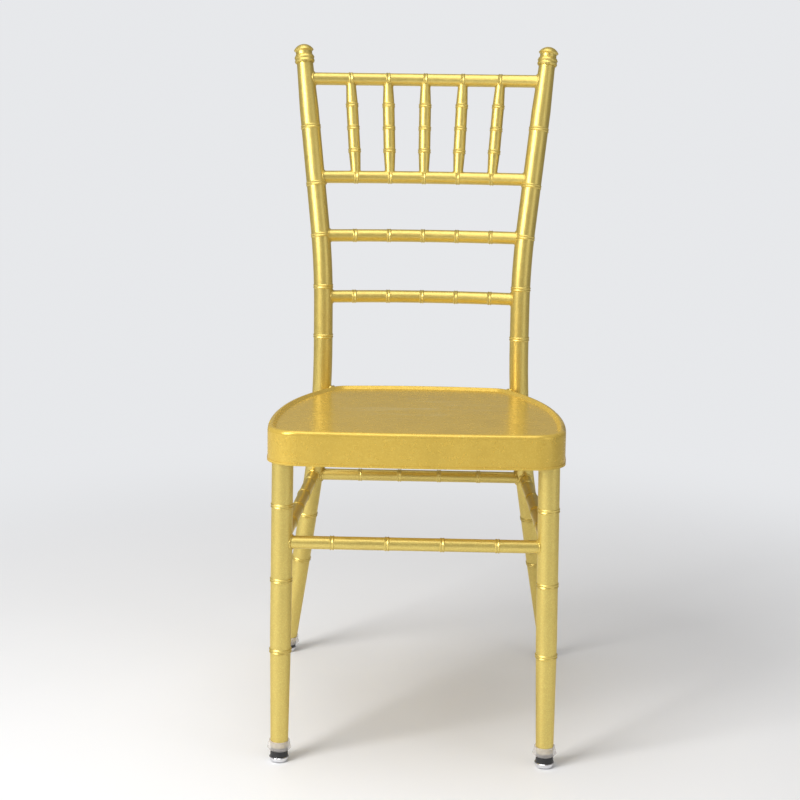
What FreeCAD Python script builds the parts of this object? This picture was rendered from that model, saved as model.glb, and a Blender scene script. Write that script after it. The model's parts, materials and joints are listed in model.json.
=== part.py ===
"""Chiavari chair: a welded frame of ringed steel tubes with a pressed steel seat.

Millimetres. +Z is up, the front is -Y and the photograph's left is -X.
The origin lies on the floor, under the middle of the chair's outline.
"""

import FreeCAD, Part
import math
import os
import re
import Sketcher

from FreeCAD import Placement, Rotation, Vector

os.makedirs("parts", exist_ok=True)
doc = FreeCAD.newDocument("chiavari_chair")

# Driving sizes
SIZES = {
    "overall_height": 924.5,
    "tube_wall": 1.4,
    "light_tube_wall": 1.2,
    "bore_overrun": 1.0,
    # shares of the seat's height, from the floor up
    "foot_ring_1_share": 0.362,
    "foot_ring_2_share": 0.5285,
    "low_bend_share": 0.8826,
    "leg_ring_1_share": 0.34,
    "leg_ring_2_share": 0.5528,
    "leg_ring_3_share": 0.773,
    "foot_taper_share": 0.38,
    "stretcher_share": 0.664,
    # shares of the back, from the seat's rim up to the crest rail
    "crest_rail_drop": 48.9,
    "back_ring_1_share": 0.1486,
    "lower_rail_share": 0.2811,
    "back_ring_2_share": 0.3161,
    "high_bend_share": 0.3908,
    "middle_rail_share": 0.4841,
    "back_ring_3_share": 0.4853,
    "back_ring_4_share": 0.654,
    "spindle_rail_share": 0.6766,
    "back_ring_5_share": 0.8406,
    # rear posts, from the floor to the finials, bent twice in one plane
    "post_diameter": 27.2,
    "post_end_diameter": 23.4,
    "rear_foot_spacing": 405.5,
    "waist_spacing": 284.0,
    "top_spacing": 355.0,
    "waist_back": 126.7,
    "waist_lean": 2.3,
    "flare_direction": 58.0,
    "low_bend_radius": 760.0,
    "high_bend_radius": 540.0,
    "top_taper_length": 66.0,
    # front legs
    "leg_diameter": 27.4,
    "leg_end_diameter": 23.0,
    "leg_splay": 0.78,
    "leg_rake": 0.62,
    "leg_corner_angle": 40.7,
    # back rails, bowed backwards
    "rail_diameter": 17.8,
    "rail_bow_radius": 720.0,
    "rail_ring_count": 5,
    "crest_ring_pitch": 54.5,
    "rail_ring_pitch": 49.2,
    "vent_spacing": 163.5,
    "vent_diameter": 3.2,
    # spindles, one under each ring of the crest rail
    "spindle_diameter": 17.0,
    "spindle_end_diameter": 13.2,
    "spindle_ring_count": 3,
    "spindle_ring_pitch": 33.1,
    # stretchers
    "stretcher_diameter": 16.8,
    "stretcher_rear_rise": 2.9,
    "stretcher_ring_count": 4,
    "front_ring_pitch": 70.4,
    "rear_ring_pitch": 58.4,
    "side_ring_pitch": 68.0,
    "side_ring_shift": 19.0,
    # raised double beads that copy the nodes of bamboo
    "ring_rise": 1.0,
    "ring_width": 6.4,
    "bead_spacing": 3.6,
    "bead_groove_rise": 0.2,
    # finials
    "finial_length": 27.0,
    "finial_collar_diameter": 28.8,
    "finial_collar_length": 10.0,
    "finial_neck_diameter": 23.6,
    "finial_neck_start": 12.0,
    "finial_neck_end": 16.0,
    "finial_dome_diameter": 28.4,
    "finial_dome_start": 18.6,
    "finial_plug_length": 12.0,
    "plug_clearance": 0.15,
    # seat pan
    "seat_front_height": 447.0,
    "seat_tilt": 1.66,
    "seat_front": 222.7,
    "seat_half_width": 192.2,
    "seat_widest": -120.3,
    "seat_side_radius": 600.0,
    "seat_side_end": -20.3,
    "seat_front_bow_radius": 2600.0,
    "seat_front_corner_radius": 42.0,
    "seat_rear_corner_radius": 32.0,
    "seat_rear_bow_radius": 790.0,
    "seat_rear": 146.8,
    "apron_height": 44.0,
    "sheet_thickness": 1.2,
    "rim_land": 6.5,
    "rim_slope_width": 4.5,
    "seat_sink": 4.0,
    "rim_fillet": 5.5,
    "hem_height": 3.0,
    "hem_rise": 0.7,
    "seat_weld_gap": 0.3,
    # feet
    "glide_diameter": 26.0,
    "glide_height": 7.0,
    "glide_flat_diameter": 18.0,
    "glide_wide_height": 4.6,
    "glide_top_bevel": 0.8,
    "cushion_top_diameter": 22.6,
    "cushion_bottom_diameter": 23.6,
    "boot_bottom": 15.8,
    "boot_floor": 4.2,
    "boot_top": 28.4,
    "boot_rim_diameter": 26.8,
    "boot_wide_diameter": 31.2,
    "boot_wide_height": 18.4,
    "boot_base_diameter": 25.8,
    "boot_clearance": 0.15,
}


class Sizes:
    """The driving sizes by name, as numbers for the arithmetic below."""


S = Sizes
sheet = doc.addObject("Spreadsheet::Sheet", "Sizes")
for row, (size_name, size_value) in enumerate(SIZES.items(), start=1):
    sheet.set(f"A{row}", size_name)
    sheet.set(f"B{row}", str(size_value))
    sheet.setAlias(f"B{row}", size_name)
    setattr(Sizes, size_name, size_value)
doc.recompute()

X_WAY = Vector(1, 0, 0)
Z_WAY = Vector(0, 0, 1)
SIDES = {"left": -1, "right": 1}
BACK_HEIGHT = S.overall_height - S.crest_rail_drop - S.seat_front_height
finished = []


def finish(piece):
    """Keep a piece as one of the chair's own, which its label names."""
    finished.append(piece)


def on_back(name):
    """The height above the floor of a place on the back, from the share of the back that name gives."""
    return S.seat_front_height + SIZES[name + "_share"] * BACK_HEIGHT


def below_seat(name):
    """The height above the floor of a place under the seat, from its share of the seat's height."""
    return SIZES[name + "_share"] * S.seat_front_height


# Expressions, sketches and features
def bound(expression):
    """The expression with the sheet's name before each size, as the features read it."""
    return re.sub(r"[a-z][a-z0-9_]+", lambda m: "Sizes." + m[0] if m[0] in SIZES else m[0], expression)


def number(expression):
    """The value of an expression, for a place that a sketch starts from."""
    return float(sheet.evalExpression(bound(expression)))


def new_body(name, placement=None):
    body = doc.addObject("PartDesign::Body", name)
    if placement is not None:
        body.Placement = placement
    return body


def origin_part(body, role):
    return [item for item in body.Origin.OriginFeatures if item.Role == role][0]


def new_sketch(body, role, offset=None):
    """A sketch on one of the body's own origin planes."""
    sketch = body.newObject("Sketcher::SketchObject", body.Name + "_sketch")
    sketch.AttachmentSupport = [(origin_part(body, role), "")]
    sketch.MapMode = "FlatFace"
    if offset is not None:
        sketch.AttachmentOffset = offset
    return sketch


def pin(sketch, line, end, across, along):
    """Hold one end of a line at a place given by two expressions."""
    for kind, expression, axis in (("DistanceX", across, -2), ("DistanceY", along, -1)):
        if expression == "0":
            sketch.addConstraint(Sketcher.Constraint("PointOnObject", line, end, axis))
        else:
            rule = Sketcher.Constraint(kind, -1, 1, line, end, number(expression))
            place = sketch.addConstraint(rule)
            sketch.setExpression(f"Constraints[{place}]", bound(expression))


def draw_outline(sketch, corners, dome=None):
    """Straight edges round a closed outline, with every corner pinned to its two expressions.

    The edge numbered dome is an arc instead, whose centre lies on the vertical axis.
    """
    points = [Vector(number(across), number(along), 0) for across, along in corners]
    count = len(corners)
    for i in range(count):
        start, end = points[i], points[(i + 1) % count]
        edge = Part.LineSegment(start, end)
        if i == dome:
            edge = Part.Arc(start, dome_middle(start, end), end)
        sketch.addGeometry(edge, False)
    for i in range(count):
        sketch.addConstraint(Sketcher.Constraint("Coincident", i, 2, (i + 1) % count, 1))
        pin(sketch, i, 1, *corners[i])
    if dome is not None:
        sketch.addConstraint(Sketcher.Constraint("PointOnObject", dome, 3, -2))


def dome_middle(edge, crown):
    """A point halfway up the round from a dome's edge to its crown on the axis."""
    rise = crown.y - edge.y
    radius = (edge.x * edge.x + rise * rise) / (2 * rise)
    half = math.asin(edge.x / radius) / 2
    return Vector(radius * math.sin(half), crown.y - radius + radius * math.cos(half), 0)


def circle_sketch(body, role, diameter, offset=None, across="0"):
    """A circle on the sketch's horizontal axis, at the distance given by the expression across."""
    sketch = new_sketch(body, role, offset)
    centre = Vector(number(across), 0, 0)
    sketch.addGeometry(Part.Circle(centre, Z_WAY, number(diameter) / 2), False)
    pin(sketch, 0, 3, across, "0")
    place = sketch.addConstraint(Sketcher.Constraint("Diameter", 0, number(diameter)))
    sketch.setExpression(f"Constraints[{place}]", bound(diameter))
    return sketch


def turned(body, corners, role="XZ_Plane", offset=None, axis="V_Axis", dome=None):
    """A full turn of a closed outline about one of its sketch's axes."""
    sketch = new_sketch(body, role, offset)
    draw_outline(sketch, corners, dome)
    feature = body.newObject("PartDesign::Revolution", body.Name + "_turned")
    feature.Profile = sketch
    feature.ReferenceAxis = (sketch, [axis])
    feature.Angle = 360
    return feature


def ring_outline(diameter):
    """Half the section of a ring: two low beads whose outer flanks start inside the tube's wall."""
    rim = f"{diameter} / 2 - tube_wall / 2"
    crest = f"{diameter} / 2 + ring_rise"
    reach = "(ring_width / 2 + (ring_width - bead_spacing) / 2 * tube_wall / 2 / ring_rise)"
    return [
        ("0", f"-1 * {reach}"),
        (rim, f"-1 * {reach}"),
        (crest, "-1 * bead_spacing / 2"),
        (f"{diameter} / 2 + bead_groove_rise", "0"),
        (crest, "bead_spacing / 2"),
        (rim, reach),
        ("0", reach),
    ]


def swapped(corners):
    """The outline with its two directions exchanged, to turn it about the horizontal axis."""
    return [(along, across) for across, along in corners]


def ring_row(body, diameter, middle, pitch, count):
    """Rings along a straight tube, evenly spread about a middle distance."""
    start = number(f"{middle} - ({count} - 1) / 2 * {pitch}")
    ring = turned(body, ring_outline(diameter), "XZ_Plane", Placement(Vector(0, start, 0), Rotation()))
    pattern = body.newObject("PartDesign::LinearPattern", body.Name + "_rings")
    pattern.Originals = [ring]
    pattern.Direction = (origin_part(body, "Z_Axis"), [""])
    pattern.setExpression("Length", bound(f"({count} - 1) * {pitch}"))
    pattern.setExpression("Occurrences", bound(count))
    body.Tip = pattern


def cut(name, base, tools):
    """The base less one or more tools, under the name of the finished piece."""
    tool = tools[0]
    if len(tools) > 1:
        tool = doc.addObject("Part::Compound", name + "_cutters")
        tool.Links = tools
    result = doc.addObject("Part::Cut", name)
    result.Base = base
    result.Tool = tool
    result.Refine = False
    return result


def straight_bore(name, tube, diameter, length):
    """The hollow of a straight tube, as a bar to cut from it."""
    body = new_body(name + "_bore", tube.Placement)
    bar = body.newObject("PartDesign::Pad", name + "_bore_bar")
    bar.Profile = circle_sketch(body, "XY_Plane", diameter)
    bar.Length = length
    return body


def frame_along(origin, forward, sideways):
    """A place whose Z runs forward and whose X leans as far as it can sideways."""
    z_axis = Vector(forward).normalize()
    x_axis = (sideways - z_axis * sideways.dot(z_axis)).normalize()
    return Placement(origin, Rotation(x_axis, z_axis.cross(x_axis), z_axis, "ZXY"))


def to_side(vector, side):
    """A point or direction of the right-hand half, carried to the left where side is -1."""
    return Vector(vector.x * side, vector.y, vector.z)


# Rear posts
class PostLine:
    """The centre line of the right-hand rear post: three straight runs and two bends in one plane."""

    def __init__(self):
        flare = math.tan(math.radians(S.flare_direction))
        lean = math.tan(math.radians(S.waist_lean))
        waist_x = S.waist_spacing / 2
        low_bend, high_bend = below_seat("low_bend"), on_back("high_bend")
        waist_rise = high_bend - low_bend
        low_out = (S.rear_foot_spacing / 2 - waist_x) / low_bend
        high_out = (S.top_spacing / 2 - waist_x) / (S.overall_height - high_bend)
        low_vertex = Vector(waist_x, S.waist_back, low_bend)
        high_vertex = low_vertex + Vector(0, lean * waist_rise, waist_rise)
        self.foot = low_vertex + Vector(low_out, low_out * flare - lean, -1) * low_bend
        self.low_way = (low_vertex - self.foot).normalize()
        self.waist_way = (high_vertex - low_vertex).normalize()
        self.top_way = Vector(high_out, high_out * flare + lean, 1).normalize()
        self.low_angle = self.low_way.getAngle(self.waist_way)
        self.high_angle = self.waist_way.getAngle(self.top_way)
        low_tangent = S.low_bend_radius * math.tan(self.low_angle / 2)
        high_tangent = S.high_bend_radius * math.tan(self.high_angle / 2)
        self.low_run = (low_vertex - self.foot).Length - low_tangent
        self.waist_run = (high_vertex - low_vertex).Length - low_tangent - high_tangent
        self.top_run = self.length_to_finial() - high_tangent

    def length_to_finial(self):
        """From the upper bend's vertex to the tube's end, so that the finial's dome reaches full height."""
        dome_rise = S.finial_length - S.finial_dome_start
        half = S.finial_dome_diameter / 2
        dome_radius = (half * half + dome_rise * dome_rise) / (2 * dome_rise)
        above_tube = dome_radius + (S.finial_length - dome_radius) * self.top_way.z
        return (S.overall_height - above_tube - on_back("high_bend")) / self.top_way.z

    def flat_point(self, run):
        """Place and heading in the plane of the bends, at a distance along the line from the floor."""
        spans = [
            (self.low_run, 0.0),
            (S.low_bend_radius * self.low_angle, S.low_bend_radius),
            (self.waist_run, 0.0),
            (S.high_bend_radius * self.high_angle, S.high_bend_radius),
            (math.inf, 0.0),
        ]
        across, along, heading = 0.0, 0.0, 0.0
        for length, radius in spans:
            part = min(run, length)
            if radius:
                turned_to = heading + part / radius
                across += radius * (math.cos(heading) - math.cos(turned_to))
                along += radius * (math.sin(turned_to) - math.sin(heading))
                heading = turned_to
            else:
                across += part * math.sin(heading)
                along += part * math.cos(heading)
            run -= part
            if run <= 0:
                break
        return across, along, heading

    def ends(self):
        """The distances from the floor to the end of each run and bend, up to the tube's end."""
        stops = [self.low_run]
        for length in (
            S.low_bend_radius * self.low_angle,
            self.waist_run,
            S.high_bend_radius * self.high_angle,
            self.top_run,
        ):
            stops.append(stops[-1] + length)
        return stops

    def placement(self, side):
        """Where the plane of the bends stands."""
        foot, low_way, waist_way = (to_side(v, side) for v in (self.foot, self.low_way, self.waist_way))
        return frame_along(foot, low_way, waist_way)

    def point(self, run, side=1):
        across, along, _ = self.flat_point(run)
        return self.placement(side).multVec(Vector(across, 0, along))

    def run_at(self, height):
        """The distance along the line from the floor to a height."""
        low, high = 0.0, 2 * S.overall_height
        while high - low > 1e-7:
            middle = (low + high) / 2
            if self.point(middle).z < height:
                low = middle
            else:
                high = middle
        return low

    def at_height(self, height, side=1):
        return self.point(self.run_at(height), side)

    def sketch_place(self, run):
        """The sketch offset that puts its vertical axis along the line, at a distance along it."""
        across, along, heading = self.flat_point(run)
        return Placement(Vector(across, along, 0), Rotation(Z_WAY, -math.degrees(heading)))


FOOT_RINGS = ("foot_ring_1", "foot_ring_2")
BACK_RINGS = ("back_ring_1", "back_ring_2", "back_ring_3", "back_ring_4", "back_ring_5")
post = PostLine()
TUBE_START = "boot_bottom + boot_floor"
FOOT_TAPER_TOP = "foot_taper_share * seat_front_height"


def tapered_run(end_diameter, diameter, start, top, inset):
    """The outline of a straight run that swells from its lower end."""
    return [
        ("0", start),
        (f"{end_diameter} / 2 - {inset}", start),
        (f"{diameter} / 2 - {inset}", FOOT_TAPER_TOP),
        (f"{diameter} / 2 - {inset}", top),
        ("0", top),
    ]


def post_solid(name, side, inset, overrun):
    """One rear post as a solid bar, inset from the outer surface and run on past both ends."""
    body = new_body(name, post.placement(side))
    start = f"{TUBE_START} - {overrun}"
    low_end = f"{post.low_run}"
    turned(body, tapered_run("post_end_diameter", "post_diameter", start, low_end, inset))

    stops = post.ends()
    taper_start = stops[-1] - S.top_taper_length
    path = new_sketch(body, "XZ_Plane")
    corners = [post.flat_point(run) for run in stops[:-1] + [taper_start]]
    middles = [post.flat_point((a + b) / 2) for a, b in zip(stops[:-2], stops[1:-1])]
    points = [Vector(across, along, 0) for across, along, _ in corners]
    for i, middle in enumerate(middles):
        bend = i % 2 == 0
        edge = Part.LineSegment(points[i], points[i + 1])
        if bend:
            edge = Part.Arc(points[i], Vector(middle[0], middle[1], 0), points[i + 1])
        path.addGeometry(edge, False)
    path.addGeometry(Part.LineSegment(points[-2], points[-1]), False)
    section = circle_sketch(
        body,
        "XY_Plane",
        f"post_diameter - 2 * {inset}",
        Placement(Vector(0, 0, post.low_run), Rotation()),
    )
    doc.recompute()
    pipe = body.newObject("PartDesign::AdditivePipe", name + "_bends")
    pipe.Profile = section
    pipe.Spine = (path, [f"Edge{i + 1}" for i in range(len(middles) + 1)])

    length = f"top_taper_length + {overrun}"
    top = [
        ("0", "0"),
        (f"post_diameter / 2 - {inset}", "0"),
        (f"post_end_diameter / 2 - {inset}", "top_taper_length"),
    ]
    if overrun != "0":
        top.append((f"post_end_diameter / 2 - {inset}", length))
    turned(body, top + [("0", length)], "XZ_Plane", post.sketch_place(taper_start))
    return body


def make_posts():
    """Both rear posts: ringed outside, hollow inside. Returns the solid outsides that other tubes meet."""
    outsides = []
    for word, side in SIDES.items():
        name = "rear_post_" + word
        outside = post_solid(name + "_outside", side, "0", "0")
        heights = [below_seat(ring) for ring in FOOT_RINGS] + [on_back(ring) for ring in BACK_RINGS]
        for height in heights:
            place = post.sketch_place(post.run_at(height))
            turned(outside, ring_outline("post_diameter"), "XZ_Plane", place)
        bore = post_solid(name + "_bore", side, "tube_wall", "bore_overrun")
        finish(cut(name, outside, [bore]))
        outsides.append(outside)
    return outsides


# Seat pan
class PanOutline:
    """The plan of the seat pan: bowed all round, with sides that turn in beside the posts."""

    def __init__(self):
        reach = S.seat_side_end - S.seat_widest
        self.side_centre = Vector(S.seat_half_width - S.seat_side_radius, S.seat_widest, 0)
        along = math.sqrt(S.seat_side_radius**2 - reach**2)
        self.side_end = self.side_centre + Vector(along, reach, 0)
        self.out = (self.side_end - self.side_centre).normalize()
        self.front_centre = Vector(0, S.seat_front_bow_radius - S.seat_front, 0)
        self.rear_centre = Vector(0, S.seat_rear - S.seat_rear_bow_radius, 0)
        front = (self.front_centre, S.seat_front_bow_radius)
        side = (self.side_centre, S.seat_side_radius)
        self.front_corner = self.corner(front, side, S.seat_front_corner_radius)
        self.turn_radius = self.radius_to_post()
        self.turn_centre = self.side_end - self.out * self.turn_radius
        rear = (self.rear_centre, S.seat_rear_bow_radius)
        turn = (self.turn_centre, self.turn_radius)
        self.rear_corner = self.corner(turn, rear, S.seat_rear_corner_radius)

    def corner(self, first, second, radius):
        """The centre of the arc of a corner, which touches two larger arcs from inside."""
        first_reach, second_reach = first[1] - radius, second[1] - radius
        between = second[0] - first[0]
        span = between.Length
        way = between.normalize()
        along = (first_reach**2 - second_reach**2 + span**2) / (2 * span)
        off = math.sqrt(first_reach**2 - along**2)
        return first[0] + way * along + Vector(-way.y, way.x, 0) * off

    def radius_to_post(self):
        """The side's rear curve is as round as it must be to pass beside the post."""
        gap = S.post_diameter / 2 + S.seat_weld_gap
        away = self.side_end - post_in_pan()
        return (gap * gap - away.dot(away)) / (2 * (-away.dot(self.out) - gap))

    def edges(self, inset):
        """The closed outline as arcs, moved inwards by an inset or outwards by a negative one."""
        circles = [
            (self.front_centre, S.seat_front_bow_radius - inset),
            (self.front_corner, S.seat_front_corner_radius - inset),
            (self.side_centre, S.seat_side_radius - inset),
            (self.turn_centre, self.turn_radius - inset),
            (self.rear_corner, S.seat_rear_corner_radius - inset),
            (self.rear_centre, S.seat_rear_bow_radius - inset),
        ]
        meetings = [self.meeting(*pair) for pair in zip(circles, circles[1:])]
        half = []
        for circle, start, end in zip(circles[1:-1], meetings, meetings[1:]):
            half.append((start, self.on(circle, (start + end) * 0.5), end))
        other = [[to_side(point, -1) for point in reversed(points)] for points in reversed(half)]
        front_bow = (to_side(meetings[0], -1), Vector(0, inset - S.seat_front, 0), meetings[0])
        rear_bow = (meetings[-1], Vector(0, S.seat_rear - inset, 0), to_side(meetings[-1], -1))
        return [Part.Arc(*points) for points in [front_bow] + half + [rear_bow] + other]

    def on(self, circle, towards):
        """The point of a circle in the direction of another point."""
        return circle[0] + (towards - circle[0]).normalize() * circle[1]

    def meeting(self, first, second):
        """Where two touching circles meet, beyond the centre of the smaller one."""
        large, small = (first, second) if first[1] > second[1] else (second, first)
        return small[0] + (small[0] - large[0]).normalize() * small[1]


def pan_placement():
    """The plane of the seat's rim, which falls a little towards the rear."""
    slope = math.tan(math.radians(S.seat_tilt))
    height = S.seat_front_height - slope * S.seat_front
    return Placement(Vector(0, 0, height), Rotation(X_WAY, -S.seat_tilt))


def post_in_pan():
    """The middle of the right-hand post where it passes the rim, in the rim's own plane."""
    slope = math.tan(math.radians(S.seat_tilt))
    place = post.at_height(pan_placement().Base.z)
    place = post.at_height(pan_placement().Base.z - slope * place.y)
    flat = pan_placement().inverse().multVec(place)
    return Vector(flat.x, flat.y, 0)


def pan_sketch(body, outline, inset, height):
    """The pan's outline at an inset and a height above the rim's plane."""
    sketch = new_sketch(body, "XY_Plane", Placement(Vector(0, 0, height), Rotation()))
    for edge in outline.edges(inset):
        sketch.addGeometry(edge, False)
    return sketch


def flat_edges(body, height):
    """The names of the body's edges that lie at a height above the rim's plane."""
    names = []
    for i, edge in enumerate(body.Tip.Shape.Edges, start=1):
        box = edge.BoundBox
        if abs(box.ZMin - height) < 1e-3 and abs(box.ZMax - height) < 1e-3:
            names.append(f"Edge{i}")
    return names


def pan_block(name, outline, depth, hem):
    """The pan as a filled block whose skin lies a depth under the outer surface.

    The block with no hem is the hollow under the sheet, and it runs on below the apron.
    """
    body = new_body(name, pan_placement())
    slope = math.atan(S.seat_sink / S.rim_slope_width)
    apron = body.newObject("PartDesign::Pad", name + "_apron")
    apron.Profile = pan_sketch(body, outline, depth, -depth)
    run = "apron_height" if hem else f"apron_height + bore_overrun - {depth}"
    apron.setExpression("Length", bound(run))
    apron.Reversed = True
    doc.recompute()
    if hem:
        lip = body.newObject("PartDesign::Pad", name + "_hem")
        lip.Profile = pan_sketch(body, outline, -S.hem_rise, -S.apron_height)
        lip.setExpression("Length", bound("hem_height"))
        doc.recompute()
    rim_edges = flat_edges(body, -depth)
    skin = body.Tip
    roll = body.newObject("PartDesign::Fillet", name + "_roll")
    roll.Base = (skin, rim_edges)
    roll.setExpression("Radius", bound(f"rim_fillet - {depth}"))
    doc.recompute()
    lift = depth / math.cos(slope)
    land = S.rim_land - (lift - depth) / math.tan(slope)
    foot = S.rim_land + (S.seat_sink + depth - lift) / math.tan(slope)
    sunk = [pan_sketch(body, outline, foot, -S.seat_sink - depth), pan_sketch(body, outline, land, -depth)]
    doc.recompute()
    recess = body.newObject("PartDesign::SubtractiveLoft", name + "_recess")
    recess.Profile = sunk[0]
    recess.Sections = [sunk[1]]
    recess.Ruled = True
    return body


def make_seat_pan(outline, posts):
    """The pressed seat: an upright apron, a rolled rim, a sunk top and a hemmed lower edge."""
    outside = pan_block("seat_pan_outside", outline, 0, True)
    inside = pan_block("seat_pan_inside", outline, S.sheet_thickness, False)
    finish(cut("seat_pan", outside, [inside] + posts))


# Front legs
LEG_RINGS = ("leg_ring_1", "leg_ring_2", "leg_ring_3")


class LegLine:
    """The centre line of the right-hand front leg, which stands inside the pan's corner."""

    def __init__(self, outline):
        splay, rake = math.radians(S.leg_splay), math.radians(S.leg_rake)
        self.way = Vector(-math.tan(splay), math.tan(rake), 1).normalize()
        reach = S.seat_front_corner_radius - S.sheet_thickness - S.leg_diameter / 2
        corner = math.radians(S.leg_corner_angle)
        seat = outline.front_corner + Vector(math.cos(corner), -math.sin(corner), 0) * reach
        self.top = pan_placement().multVec(seat - Z_WAY * (S.seat_sink + S.sheet_thickness))
        self.foot = self.top - self.way * (self.top.z / self.way.z)

    def at_height(self, height, side=1):
        return to_side(self.foot + self.way * (height / self.way.z), side)

    def placement(self, side):
        return frame_along(to_side(self.foot, side), to_side(self.way, side), X_WAY)


def leg_solid(name, leg, side, inset, overrun):
    """One front leg as a solid bar, inset from the outer surface, that runs up past the seat's underside."""
    body = new_body(name, leg.placement(side))
    start = f"{TUBE_START} - {overrun}"
    turned(body, tapered_run("leg_end_diameter", "leg_diameter", start, "seat_front_height", inset))
    return body


def make_front_legs(leg):
    """Both front legs: ringed tubes whose tops butt the underside of the sunk seat."""
    slab = doc.addObject("Part::Box", "above_seat_underside")
    for side_name in ("Length", "Width", "Height"):
        slab.setExpression(side_name, bound("seat_half_width * 4"))
    under = S.seat_sink + S.sheet_thickness
    corner = Vector(-1, -1, 0) * S.seat_half_width * 2 - Z_WAY * under
    slab.Placement = pan_placement().multiply(Placement(corner, Rotation()))
    outsides = []
    for word, side in SIDES.items():
        name = "front_leg_" + word
        outside = leg_solid(name + "_outside", leg, side, "0", "0")
        for ring in LEG_RINGS:
            place = Placement(Vector(0, below_seat(ring) / leg.way.z, 0), Rotation())
            turned(outside, ring_outline("leg_diameter"), "XZ_Plane", place)
        bore = leg_solid(name + "_bore", leg, side, "tube_wall", "bore_overrun")
        finish(cut(name, outside, [bore, slab]))
        outsides.append(outside)
    return outsides


# Back rails and spindles
class RailLine:
    """The bowed centre line of a back rail, level between the posts' centre lines."""

    def __init__(self, height, pitch):
        end = post.at_height(height)
        self.half_angle = math.asin(end.x / S.rail_bow_radius)
        self.centre = end - Vector(end.x, S.rail_bow_radius * math.cos(self.half_angle), 0)
        self.pitch = pitch
        self.ring_angle = SIZES[pitch] / S.rail_bow_radius

    def flat_point(self, angle):
        """The point at an angle from the middle towards the right, in the bow's own plane."""
        return Vector(math.sin(angle), math.cos(angle), 0) * S.rail_bow_radius

    def ring_point(self, index):
        return self.centre + self.flat_point((index - (S.rail_ring_count - 1) / 2) * self.ring_angle)


def bowed_bar(name, line, diameter):
    """A bowed round bar from one post's centre line to the other's."""
    body = new_body(name, Placement(line.centre, Rotation()))
    bar = body.newObject("PartDesign::Revolution", name + "_bow")
    section = circle_sketch(body, "YZ_Plane", diameter, across="rail_bow_radius")
    bar.Profile = section
    bar.ReferenceAxis = (section, ["V_Axis"])
    bar.Angle = math.degrees(2 * line.half_angle)
    bar.Midplane = True
    return body


def vent_pins(line):
    """Two upright pins that pierce the underside of the crest rail, each between two spindles."""
    angle = S.vent_spacing / 2 / S.rail_bow_radius
    pins = []
    for word, side in SIDES.items():
        place = Placement(line.centre + line.flat_point(side * angle), Rotation(X_WAY, 180))
        body = new_body("crest_vent_" + word, place)
        pin_bar = body.newObject("PartDesign::Pad", "crest_vent_bar_" + word)
        pin_bar.Profile = circle_sketch(body, "XY_Plane", "vent_diameter")
        pin_bar.setExpression("Length", bound("rail_diameter"))
        pins.append(body)
    return pins


def rail_solid(name, line):
    """A bowed rail's outer shape with its rings."""
    body = bowed_bar(name, line, "rail_diameter")
    spread = (S.rail_ring_count - 1) * line.ring_angle
    first = Placement(line.flat_point(spread / 2), Rotation(Z_WAY, -math.degrees(spread / 2)))
    ring = turned(body, swapped(ring_outline("rail_diameter")), "XY_Plane", first, "H_Axis")
    pattern = body.newObject("PartDesign::PolarPattern", name + "_rings")
    pattern.Originals = [ring]
    pattern.Axis = (origin_part(body, "Z_Axis"), [""])
    pattern.setExpression("Angle", bound(f"(rail_ring_count - 1) * {line.pitch} / rail_bow_radius * 180 / pi"))
    pattern.setExpression("Occurrences", bound("rail_ring_count"))
    body.Tip = pattern
    return body


def make_back(posts):
    """The four bowed rails, coped round the posts, and the spindles, coped round the two upper rails."""
    lines = {"crest_rail": RailLine(S.overall_height - S.crest_rail_drop, "crest_ring_pitch")}
    for name in ("spindle_rail", "middle_rail", "lower_rail"):
        lines[name] = RailLine(on_back(name), "rail_ring_pitch")
    solids = {}
    for name, line in lines.items():
        solids[name] = rail_solid(name + "_outside", line)
        bore = bowed_bar(name + "_bore", line, "rail_diameter - 2 * light_tube_wall")
        vents = vent_pins(line) if name == "crest_rail" else []
        finish(cut(name, solids[name], [bore] + vents + posts))
    for i in range(S.rail_ring_count):
        name = f"spindle_{i + 1}"
        low, high = lines["spindle_rail"].ring_point(i), lines["crest_rail"].ring_point(i)
        length = (high - low).Length
        body = new_body(name + "_outside", frame_along(low, high - low, X_WAY))
        swell = f"{length} / 2 - spindle_ring_pitch"
        corners = [
            ("0", "0"),
            ("spindle_end_diameter / 2", "0"),
            ("spindle_diameter / 2", swell),
            ("spindle_diameter / 2", f"{length} - ({swell})"),
            ("spindle_end_diameter / 2", f"{length}"),
            ("0", f"{length}"),
        ]
        turned(body, corners)
        ring_row(body, "spindle_diameter", f"{length} / 2", "spindle_ring_pitch", "spindle_ring_count")
        bore = straight_bore(name, body, "spindle_end_diameter - 2 * light_tube_wall", length)
        finish(cut(name, body, [bore, solids["spindle_rail"], solids["crest_rail"]]))


# Stretchers
def make_stretcher(name, start, end, pitch, shift, tubes):
    """A straight ringed tube between two legs' centre lines, coped round both legs."""
    length = (end - start).Length
    body = new_body(name + "_outside", frame_along(start, end - start, Z_WAY))
    radius = "stretcher_diameter / 2"
    turned(body, [("0", "0"), (radius, "0"), (radius, f"{length}"), ("0", f"{length}")])
    ring_row(body, "stretcher_diameter", f"{length} / 2 + {shift}", pitch, "stretcher_ring_count")
    bore = straight_bore(name, body, "stretcher_diameter - 2 * light_tube_wall", length)
    finish(cut(name, body, [bore] + tubes))


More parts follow.
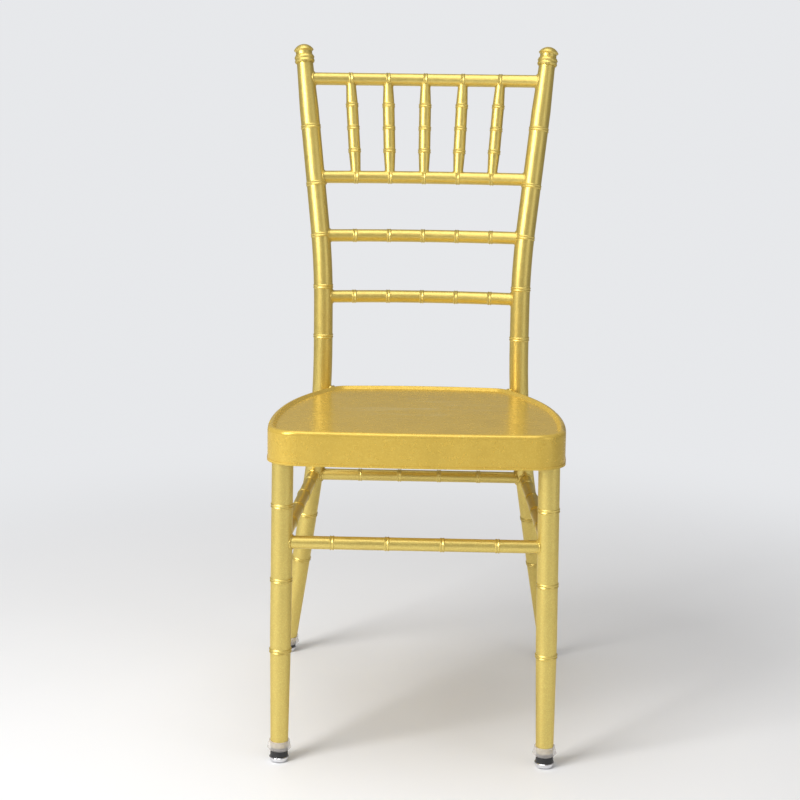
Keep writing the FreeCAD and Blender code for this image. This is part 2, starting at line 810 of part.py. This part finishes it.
def make_stretchers(leg, legs, posts):
    height = below_seat("stretcher")
    front = [leg.at_height(height, side) for side in SIDES.values()]
    rear = [post.at_height(height + S.stretcher_rear_rise, side) for side in SIDES.values()]
    make_stretcher("front_stretcher", front[0], front[1], "front_ring_pitch", "0", legs)
    make_stretcher("rear_stretcher", rear[0], rear[1], "rear_ring_pitch", "0", posts)
    for i, word in enumerate(SIDES):
        tubes = [legs[i], posts[i]]
        make_stretcher(word + "_stretcher", front[i], rear[i], "side_ring_pitch", "side_ring_shift", tubes)


# Finials
def make_finials():
    """Turned caps: a plug in the tube, a double-beaded collar, a neck and a low dome."""
    plug = "post_end_diameter / 2 - tube_wall - plug_clearance"
    collar = "finial_collar_diameter / 2"
    neck = "finial_neck_diameter / 2"
    corners = [
        ("0", "-1 * finial_plug_length"),
        (plug, "-1 * finial_plug_length"),
        (plug, "0"),
        (f"{collar} - ring_rise", "0"),
        (collar, "finial_collar_length / 4"),
        (f"{collar} - ring_rise", "finial_collar_length / 2"),
        (collar, "finial_collar_length * 3 / 4"),
        (f"{collar} - ring_rise", "finial_collar_length"),
        (neck, "finial_neck_start"),
        (neck, "finial_neck_end"),
        ("finial_dome_diameter / 2", "finial_dome_start"),
        ("0", "finial_length"),
    ]
    for word, side in SIDES.items():
        end = post.point(post.ends()[-1], side)
        way = to_side(post.top_way, side)
        body = new_body("finial_" + word, frame_along(end, way, X_WAY))
        turned(body, corners, dome=len(corners) - 2)
        finish(body)


# Feet
def make_foot(place, foot, way, end_diameter, diameter):
    """A boot round a tube's end, the rubber cushion under it and the steel glide on the floor."""
    axis = frame_along(foot, way, X_WAY)
    boot = new_body("boot_" + place, axis)
    swell = f"({diameter} - {end_diameter}) / 2 / ({FOOT_TAPER_TOP} - ({TUBE_START}))"
    snug = f"{end_diameter} / 2 + boot_clearance"
    corners = [
        ("0", "boot_bottom"),
        ("boot_base_diameter / 2", "boot_bottom"),
        ("boot_wide_diameter / 2", "boot_wide_height"),
        ("boot_rim_diameter / 2", "boot_top"),
        (f"{snug} + {swell} * (boot_top - ({TUBE_START}))", "boot_top"),
        (snug, TUBE_START),
        ("0", TUBE_START),
    ]
    turned(boot, corners)
    finish(boot)

    level = foot + way * (S.glide_height / way.z)
    glide = new_body("glide_" + place, Placement(Vector(level.x, level.y, 0), Rotation()))
    radius = "glide_diameter / 2"
    corners = [
        ("0", "0"),
        ("glide_flat_diameter / 2", "0"),
        (f"glide_flat_diameter / 2 + ({radius} - glide_flat_diameter / 2) * 3 / 4", "glide_wide_height / 3"),
        (radius, "glide_wide_height"),
        (radius, "glide_height - glide_top_bevel"),
        (f"{radius} - glide_top_bevel", "glide_height"),
        ("0", "glide_height"),
    ]
    turned(glide, corners)
    finish(glide)

    block = new_body("cushion_" + place + "_block", axis)
    corners = [
        ("0", "0"),
        ("cushion_bottom_diameter / 2", "0"),
        ("cushion_top_diameter / 2", "boot_bottom"),
        ("0", "boot_bottom"),
    ]
    turned(block, corners)
    slab = doc.addObject("Part::Box", "below_glide_top_" + place)
    slab.setExpression("Length", bound("glide_diameter * 2"))
    slab.setExpression("Width", bound("glide_diameter * 2"))
    slab.setExpression("Height", bound("glide_height * 2"))
    corner = Vector(S.glide_diameter, S.glide_diameter, S.glide_height)
    slab.Placement = Placement(Vector(level.x, level.y, 0) - corner, Rotation())
    finish(cut("cushion_" + place, block, [slab]))


def make_feet(leg):
    for word, side in SIDES.items():
        foot, way = to_side(leg.foot, side), to_side(leg.way, side)
        make_foot("front_" + word, foot, way, "leg_end_diameter", "leg_diameter")
        foot, way = to_side(post.foot, side), to_side(post.low_way, side)
        make_foot("rear_" + word, foot, way, "post_end_diameter", "post_diameter")


# Assembly
def assemble():
    posts = make_posts()
    outline = PanOutline()
    leg = LegLine(outline)
    legs = make_front_legs(leg)
    make_seat_pan(outline, posts)
    make_back(posts)
    make_stretchers(leg, legs, posts)
    make_finials()
    make_feet(leg)


def check_document():
    """Stop if any object failed, or if a finished piece isn't one valid solid."""
    for item in doc.Objects:
        if "Invalid" in item.State or "Error" in item.State:
            raise RuntimeError(f"{item.Name} failed: {item.State}")
    for piece in finished:
        shape = piece.Shape
        if shape.isNull() or not shape.isValid() or len(shape.Solids) != 1:
            raise RuntimeError(f"{piece.Label} isn't one valid solid")


assemble()
doc.recompute()
check_document()
for piece in finished:
    piece.Shape.exportStep(f"parts/{piece.Label}.step")
    box = piece.Shape.BoundBox
    print(f"{piece.Label}: {piece.Shape.Volume:.0f} mm3, z {box.ZMin:.1f} to {box.ZMax:.1f}")
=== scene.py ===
"""Looks for the gold chiavari chair: paint, clouded feet, weld beads and a pale studio."""

import json
import math
import random

import bmesh
import bpy
from mathutils import Matrix, Vector
from mathutils.bvhtree import BVHTree


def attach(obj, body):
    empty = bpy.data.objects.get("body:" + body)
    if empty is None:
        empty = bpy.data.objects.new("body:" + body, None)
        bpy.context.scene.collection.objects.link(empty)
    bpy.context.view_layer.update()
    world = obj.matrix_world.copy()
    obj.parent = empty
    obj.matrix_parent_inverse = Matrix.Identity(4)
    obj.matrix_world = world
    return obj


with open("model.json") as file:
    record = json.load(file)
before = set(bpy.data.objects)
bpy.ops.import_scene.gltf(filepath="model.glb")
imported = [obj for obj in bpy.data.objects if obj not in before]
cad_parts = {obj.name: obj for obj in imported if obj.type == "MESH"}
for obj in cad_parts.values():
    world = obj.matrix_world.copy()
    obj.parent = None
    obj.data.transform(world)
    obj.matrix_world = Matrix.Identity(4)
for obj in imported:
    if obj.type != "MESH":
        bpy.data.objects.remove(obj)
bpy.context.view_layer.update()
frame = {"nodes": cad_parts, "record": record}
nodes = frame["nodes"]
chance = random.Random(7)

MM = 0.001


# Materials

class Shader:
    """A material with its node tree and short calls for the nodes in it."""

    def __init__(self, name, colour, **sockets):
        self.material = bpy.data.materials.new(name)
        self.material.use_nodes = True
        self.tree = self.material.node_tree
        self.surface = self.tree.nodes["Principled BSDF"]
        self.surface.inputs["Base Color"].default_value = (*colour, 1)
        for socket, value in sockets.items():
            self.surface.inputs[socket.replace("_", " ")].default_value = value
        self.coords = self.node("TexCoord").outputs["Object"]

    def node(self, kind, inputs=None, **settings):
        node = self.tree.nodes.new("ShaderNode" + kind)
        for name, value in settings.items():
            setattr(node, name, value)
        for name, value in (inputs or {}).items():
            self.feed(node.inputs[name], value)
        return node

    def feed(self, socket, value):
        if isinstance(value, bpy.types.NodeSocket):
            self.tree.links.new(value, socket)
        else:
            socket.default_value = value

    def math(self, operation, *values, clamp=False):
        node = self.node("Math", operation=operation, use_clamp=clamp)
        for place, value in enumerate(values):
            self.feed(node.inputs[place], value)
        return node.outputs[0]

    def spread(self, value, low, high, to_low=0.0, to_high=1.0):
        """value mapped from low..high to to_low..to_high, and held there."""
        node = self.node("MapRange", {"Value": value, "From Min": low, "From Max": high,
                                      "To Min": to_low, "To Max": to_high})
        return node.outputs[0]

    def noise(self, size, detail=2.0, rough=0.5, stretch=(1, 1, 1)):
        """Noise whose lumps are about size metres across, drawn out along an axis by stretch."""
        mapping = self.node("Mapping", {"Vector": self.coords, "Scale": [1 / s for s in stretch]})
        return self.node("TexNoise", {"Vector": mapping.outputs[0], "Scale": 1 / size, "Detail": detail,
                                      "Roughness": rough}).outputs[0]

    def cells(self, size):
        return self.node("TexVoronoi", {"Vector": self.coords, "Scale": 1 / size})

    def bump(self, height, distance, strength=1.0, base=None):
        inputs = {"Height": height, "Distance": distance, "Strength": strength}
        if base is not None:
            inputs["Normal"] = base
        return self.node("Bump", inputs).outputs[0]

    def tint(self, colour, factor, kind="MIX"):
        """The base colour so far, blended towards colour by factor."""
        socket = self.surface.inputs["Base Color"]
        so_far = socket.links[0].from_socket if socket.links else tuple(socket.default_value)
        mix = self.node("Mix", data_type="RGBA", blend_type=kind)
        colour = colour if isinstance(colour, bpy.types.NodeSocket) else (*colour, 1)
        for place, value in ((0, factor), (6, so_far), (7, colour)):
            self.feed(mix.inputs[place], value)
        self.feed(socket, mix.outputs[2])

    def set(self, socket, value):
        self.feed(self.surface.inputs[socket], value)


def gold_paint(name, colour, roughness, peel, flake, coat, metal=0.8, grit=0.3):
    """Satin metallic paint: flakes that glint, partly through their bumps and partly as lighter specks of
    painted glint in the colour, cloudy spray passes, an orange-peel skin.
    """
    paint = Shader(name, colour, Metallic=metal, Coat_Weight=coat, Coat_Roughness=0.30,
                   Specular_Tint=(1.0, 0.84, 0.46, 1.0))
    flakes = paint.cells(0.95 * MM)
    glint = paint.node("SeparateColor", {"Color": flakes.outputs["Color"]})
    # Painted glint: flake cells tinted lighter in the base colour stand for the flakes' sparkle.
    painted_glint_colour = [min(1.0, c * 1.5 + 0.10) for c in colour]
    deep = [c * 0.66 for c in colour]
    paint.tint(painted_glint_colour, paint.spread(glint.outputs[0], 0.55, 1.0, 0.0, flake))
    paint.tint(deep, paint.spread(glint.outputs[1], 0.45, 1.0, 0.0, flake * 0.8))
    passes = paint.noise(45 * MM, 3, 0.55, stretch=(1, 1, 2.2))
    paint.tint(deep, paint.spread(passes, 0.48, 0.75, 0.0, 0.22))
    rough = paint.spread(paint.noise(9 * MM, 3, 0.6), 0.3, 0.7, roughness - 0.05, roughness + 0.06)
    paint.set("Roughness", rough)
    skin = paint.bump(paint.noise(3.2 * MM, 2, 0.5), 0.10 * MM, peel)
    grain = paint.bump(glint.outputs[2], 0.05 * MM, grit, skin)
    paint.set("Normal", grain)
    paint.set("Coat Normal", skin)
    return paint


def seat_paint():
    """The frame's paint on the pan, in a darker, browner colour that is painted shade, with a wavier,
    glossier top and faint lighter wispy streaks in its middle.
    """
    # Painted shade: the seat's base colour is the frame's gold made darker and browner.
    paint = gold_paint("seat_paint", (0.69, 0.475, 0.085), 0.24, 0.10, 0.26, 0.04, metal=0.32, grit=0.12)
    place = paint.node("SeparateXYZ", {"Vector": paint.coords})
    # Faint lighter wispy streaks, drawn out sideways and gathered in the seat's middle.
    wispy_streaks = paint.noise(16 * MM, 4, 0.65, stretch=(4.5, 1, 1))
    across = paint.spread(paint.math("ABSOLUTE", place.outputs[0]), 0.03, 0.15, 1, 0)
    forward = paint.math("ADD", place.outputs[1], 0.01)
    along = paint.spread(paint.math("ABSOLUTE", forward), 0.02, 0.12, 1, 0)
    mask = paint.math("MULTIPLY", paint.math("MULTIPLY", across, along), paint.spread(wispy_streaks, 0.50, 0.66))
    paint.tint((0.74, 0.60, 0.26), paint.math("MULTIPLY", mask, 0.6))
    return paint


def clear_plastic():
    """Clouded, slightly pink plastic that lets the tube inside show."""
    plastic = Shader("boot_plastic", (0.74, 0.71, 0.68), Roughness=0.16, IOR=1.46, Alpha=0.40)
    cloud = plastic.noise(5 * MM, 3, 0.6)
    plastic.tint((0.88, 0.85, 0.84), plastic.spread(cloud, 0.35, 0.7, 0, 0.6))
    plastic.set("Normal", plastic.bump(plastic.noise(2.5 * MM), 0.06 * MM, 0.6))
    return plastic


def black_rubber():
    rubber = Shader("cushion_rubber", (0.022, 0.022, 0.024), IOR=1.5)
    dust = rubber.noise(2.0 * MM, 4, 0.7)
    rubber.tint((0.10, 0.10, 0.10), rubber.spread(dust, 0.5, 0.8, 0, 0.35))
    rubber.set("Roughness", rubber.spread(dust, 0.3, 0.7, 0.42, 0.62))
    rubber.set("Normal", rubber.bump(rubber.noise(0.8 * MM, 3), 0.05 * MM, 0.5))
    return rubber


def bright_steel():
    chrome = Shader("glide_chrome", (0.78, 0.78, 0.80), Metallic=1.0)
    rubbed = chrome.noise(3.0 * MM, 4, 0.7, stretch=(1, 1, 0.12))
    chrome.tint((0.52, 0.52, 0.54), chrome.spread(rubbed, 0.5, 0.8, 0, 0.5))
    chrome.set("Roughness", chrome.spread(rubbed, 0.3, 0.7, 0.09, 0.2))
    chrome.set("Normal", chrome.bump(rubbed, 0.02 * MM, 0.5))
    return chrome


gold = gold_paint("frame_paint", (0.73, 0.565, 0.155), 0.40, 0.16, 0.26, 0.34)
finishes = {
    "frame_paint": gold.material,
    "seat_paint": seat_paint().material,
    "boot_plastic": clear_plastic().material,
    "cushion_rubber": black_rubber().material,
    "glide_chrome": bright_steel().material,
}
for part in frame["record"]["subparts"]:
    for place in nodes[part["node"]].material_slots:
        place.material = finishes[part["material_slot"]]


# Weld beads

RIPPLES = 9
CLEAR_OF_WELD = 16 * MM
BAND = 14 * MM
POST_AT_SEAT = (0.1425, 0.128)
GROOVE_OFFSET = 4.6 * MM


def piece(name, mesh, slot):
    """A new visible piece of the chair, riding on its one body."""
    made = bpy.data.objects.new(name, mesh)
    bpy.context.scene.collection.objects.link(made)
    made.data.materials.append(finishes[slot])
    for face in made.data.polygons:
        face.use_smooth = True
    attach(made, "root")
    return made


trees = {}


def tree_of(name):
    if name not in trees:
        mesh = nodes[name].data
        places = [v.co for v in mesh.vertices]
        trees[name] = BVHTree.FromPolygons(places, [p.vertices for p in mesh.polygons])
    return trees[name]


def seam(tube, host, samples=56, reach=0.4 * MM, skin=0.15 * MM):
    """Points where the outside of a tube's end meets its host, with the tube's own direction there."""
    tree = tree_of(host)
    verts = [v.co for v in nodes[tube].data.vertices]
    touching = [v for v in verts if tree.find_nearest(v)[3] < reach]
    centre = sum(touching, Vector()) / len(touching)
    first = min(d for d in ((v - centre).length for v in verts) if d > CLEAR_OF_WELD)
    near = [v for v in verts if CLEAR_OF_WELD < (v - centre).length < first + BAND]
    axis = (sum(near, Vector()) / len(near) - centre).normalized()
    radius = max(((v - centre) - (v - centre).dot(axis) * axis).length for v in touching)
    side = axis.orthogonal().normalized()
    up = axis.cross(side)
    ring = []
    for step in range(samples):
        turn = 2 * math.pi * step / samples
        out = math.cos(turn) * side + math.sin(turn) * up
        start = centre + out * (radius + skin) + axis * CLEAR_OF_WELD
        hit = tree.ray_cast(start, -axis, 40 * MM)[0]
        if hit is not None:
            ring.append((hit, out))
    return ring, axis


def skinned(name, loops, closed):
    """A painted piece made of equal loops of points, joined end to end or capped at both ends."""
    mesh = bmesh.new()
    rows = [[mesh.verts.new(point) for point in loop] for loop in loops]
    for here, then in zip(rows, rows[1:] + rows[:1] if closed else rows[1:]):
        for turn in range(len(here)):
            nxt = (turn + 1) % len(here)
            mesh.faces.new((here[turn], then[turn], then[nxt], here[nxt]))
    if not closed:
        mesh.faces.new(rows[0])
        mesh.faces.new(rows[-1])
    bmesh.ops.recalc_face_normals(mesh, faces=mesh.faces)
    data = bpy.data.meshes.new(name)
    mesh.to_mesh(data)
    mesh.free()
    return piece(name, data, "frame_paint")


def loop_round(middle, first, second, thick, count):
    """Points of a circle round middle, in the plane of two directions."""
    turns = [2 * math.pi * turn / count for turn in range(count)]
    return [middle + (math.cos(t) * first + math.sin(t) * second) * thick for t in turns]


def bead(name, tube, host, size, ripple=0.22):
    """A closed weld bead round the end of a tube: a roll with fish-scale ripples."""
    ring, axis = seam(tube, host)
    loops = []
    for step, (hit, out) in enumerate(ring):
        wave = math.sin(step * 2 * math.pi * RIPPLES / len(ring))
        swell = 1 + ripple * 0.4 * wave + chance.uniform(-ripple, ripple)
        loops.append(loop_round(hit, out, axis, size * swell, 8))
    return skinned(name, loops, closed=True)


def roll(name, points, size, ripple=0.25):
    """An open weld bead along points, thinner and closed at both ends."""
    loops, last = [], len(points) - 1
    for step, point in enumerate(points):
        share = step / last
        way = (points[min(step + 1, last)] - points[max(step - 1, 0)]).normalized()
        side = way.orthogonal().normalized()
        thick = size * math.sqrt(max(0.04, 1 - (2 * share - 1) ** 6))
        thick *= 1 + ripple * 0.4 * math.sin(share * 34) + chance.uniform(-ripple, ripple) * 0.5
        loops.append(loop_round(point, side, way.cross(side), thick, 10))
    return skinned(name, loops, closed=False)


def seat_welds(side, low=0.399, high=0.4376, steps=22):
    """Upright beads in the grooves between the pan and a rear post, and a thicker one on its rim."""
    sign = -1 if side == "left" else 1
    post, pan = tree_of("rear_post_" + side), tree_of("seat_pan")
    lines = ([], [])
    for step in range(steps):
        height = low + (high - low) * step / (steps - 1)
        axis = Vector((sign * POST_AT_SEAT[0], POST_AT_SEAT[1], height))
        on_pan = pan.find_nearest(axis)[0]
        on_post = post.find_nearest(on_pan)[0]
        across = (on_post - on_pan).cross(Vector((0, 0, 1))).normalized()
        middle = (on_post + on_pan) / 2
        for line, way in zip(lines, (-1, 1)):
            line.append(middle + across * way * GROOVE_OFFSET)
    for number, line in enumerate(lines, 1):
        roll(f"weld_seat_{side}_{number}", line, 2.0 * MM)
    back = across if across.y > 0 else -across
    cap = [middle + back * t * MM + Vector((0, 0, chance.uniform(0.9, 1.5) * MM)) for t in range(12)]
    roll(f"weld_seat_{side}_top", cap, 3.3 * MM, 0.4)


RAILS = ("crest_rail", "spindle_rail", "middle_rail", "lower_rail")
for side in ("left", "right"):
    post, leg = "rear_post_" + side, "front_leg_" + side
    for rail in RAILS:
        bead(f"weld_{rail}_{side}", rail, post, 1.1 * MM)
    bead(f"weld_rear_stretcher_{side}", "rear_stretcher", post, 1.7 * MM, 0.3)
    bead(f"weld_front_stretcher_{side}", "front_stretcher", leg, 1.3 * MM)
    bead(f"weld_{side}_stretcher_rear", side + "_stretcher", post, 1.8 * MM, 0.3)
    bead(f"weld_{side}_stretcher_front", side + "_stretcher", leg, 1.4 * MM)
    seat_welds(side)
for number in range(1, 6):
    bead(f"weld_spindle_{number}_top", f"spindle_{number}", "crest_rail", 0.8 * MM)
    bead(f"weld_spindle_{number}_bottom", f"spindle_{number}", "spindle_rail", 0.8 * MM)


# Studio

def aim(thing, target):
    thing.rotation_euler = (Vector(target) - thing.location).to_track_quat("-Z", "Y").to_euler()


def camera():
    """The photograph's view: a 72 mm lens 2.16 m in front of the chair's middle, 0.89 m up."""
    data = bpy.data.cameras.new("camera")
    data.lens, data.sensor_width = 72, 36
    made = bpy.data.objects.new("camera", data)
    bpy.context.scene.collection.objects.link(made)
    yaw, pitch, roll = (math.radians(a) for a in (-1.4959, 11.6534, 0.7086))
    ahead = Vector((math.sin(yaw) * math.cos(pitch), math.cos(yaw) * math.cos(pitch), -math.sin(pitch)))
    right = Vector((math.cos(yaw), -math.sin(yaw), 0))
    up = right.cross(ahead)
    right, up = (right * math.cos(roll) + up * math.sin(roll), up * math.cos(roll) - right * math.sin(roll))
    made.matrix_world = Matrix.Translation((0.0304, -2.1576, 0.8894)) @ Matrix(
        (right, up, -ahead)).transposed().to_4x4()
    bpy.context.scene.camera = made


PALE = (0.80, 0.81, 0.83, 1)


def floor():
    """A wide pale floor that fades into the backdrop's colour behind the chair."""
    bpy.ops.mesh.primitive_plane_add(size=60, location=(0, 0, 0))
    made = bpy.context.object
    made.name = "floor"
    paper = Shader("floor_paper", (0.90, 0.91, 0.93), Roughness=0.45)
    paper.tint((0.87, 0.88, 0.90), paper.spread(paper.noise(0.5, 3), 0.35, 0.7, 0, 0.6))
    away = paper.node("VectorMath", {"Vector": paper.coords}, operation="LENGTH").outputs["Value"]
    smooth = paper.node("MapRange", {"Value": away, "From Min": 0.3, "From Max": 1.7},
                        interpolation_type="SMOOTHERSTEP").outputs[0]
    seen = paper.node("LightPath").outputs["Is Camera Ray"]
    fade = paper.math("MULTIPLY", smooth, seen)
    glow = paper.node("Emission", {"Color": PALE, "Strength": 1.0}).outputs[0]
    blend = paper.node("MixShader", {0: fade, 1: paper.surface.outputs[0], 2: glow}).outputs[0]
    paper.feed(paper.tree.nodes["Material Output"].inputs["Surface"], blend)
    made.data.materials.append(paper.material)


def lamp(name, place, target, size, power, colour=(1, 1, 1)):
    data = bpy.data.lights.new(name, "AREA")
    data.shape, data.size, data.size_y = "RECTANGLE", size[0], size[1]
    data.energy, data.color = power, colour
    made = bpy.data.objects.new(name, data)
    bpy.context.scene.collection.objects.link(made)
    made.location = place
    aim(made, target)


def backdrop():
    """A dim dome of soft light that the camera sees as a pale backdrop."""
    world = bpy.data.worlds.new("studio")
    bpy.context.scene.world = world
    world.use_nodes = True
    tree = world.node_tree
    dome = tree.nodes["Background"]
    dome.inputs[0].default_value = (0.65, 0.63, 0.61, 1)
    dome.inputs[1].default_value = 0.42
    pale = tree.nodes.new("ShaderNodeBackground")
    pale.inputs[0].default_value = PALE
    pale.inputs[1].default_value = 1.0
    path = tree.nodes.new("ShaderNodeLightPath")
    mix = tree.nodes.new("ShaderNodeMixShader")
    tree.links.new(path.outputs["Is Camera Ray"], mix.inputs[0])
    tree.links.new(dome.outputs[0], mix.inputs[1])
    tree.links.new(pale.outputs[0], mix.inputs[2])
    tree.links.new(mix.outputs[0], tree.nodes["World Output"].inputs["Surface"])


def studio():
    """A soft key from the front left, a broad fill from the right and a soft top light."""
    lamp("key", (-1.75, -1.60, 1.9), (0, 0, 0.5), (1.1, 1.7), 64, (1.0, 0.985, 0.96))
    lamp("fill", (2.3, -1.6, 1.2), (0, 0, 0.5), (1.2, 2.2), 9, (0.98, 0.985, 1.0))
    lamp("top", (-0.3, -0.4, 3.0), (0, 0, 0.4), (2.4, 2.4), 38)


camera()
floor()
backdrop()
studio()
bpy.context.scene.view_settings.view_transform = "Standard"
